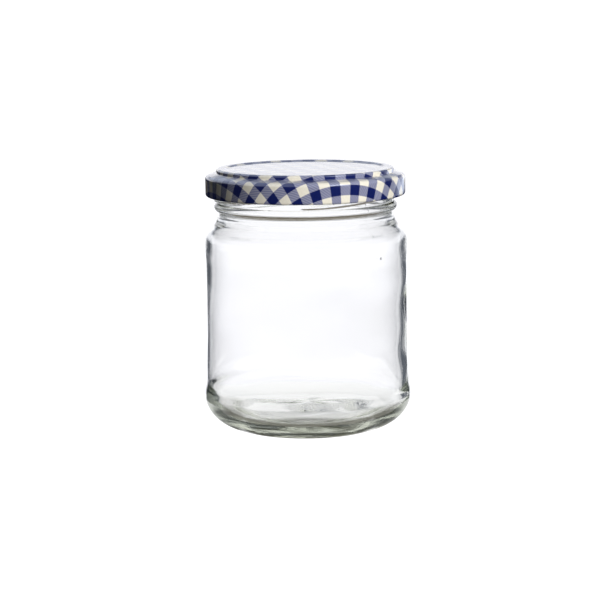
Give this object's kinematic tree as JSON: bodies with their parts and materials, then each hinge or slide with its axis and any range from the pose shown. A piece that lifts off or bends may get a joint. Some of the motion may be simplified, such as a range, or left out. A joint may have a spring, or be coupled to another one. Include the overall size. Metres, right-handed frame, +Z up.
{
  "type": "twist-off glass jar",
  "caption": "Clear round food jar with a wide threaded neck, closed by a low twist-off tinplate lid printed with blue gingham checks.",
  "frame": {"origin": "centre of the jar's base, on the plane that it stands on", "axes": "+Z up along the jar's axis; -Y is the side that the picture shows"},
  "size_m": [0.0688, 0.0688, 0.0867],
  "materials": {
    "clear_glass": "clear soda-lime glass, faintly green where it is thick",
    "printed_tinplate": "glossy varnish over a printed navy and cream gingham check",
    "sealing_compound": "soft off-white compound"
  },
  "bodies": {
    "root": {"jar_glass": "clear_glass", "lid": "printed_tinplate", "sealing_ring": "sealing_compound"}
  },
  "joints": []
}
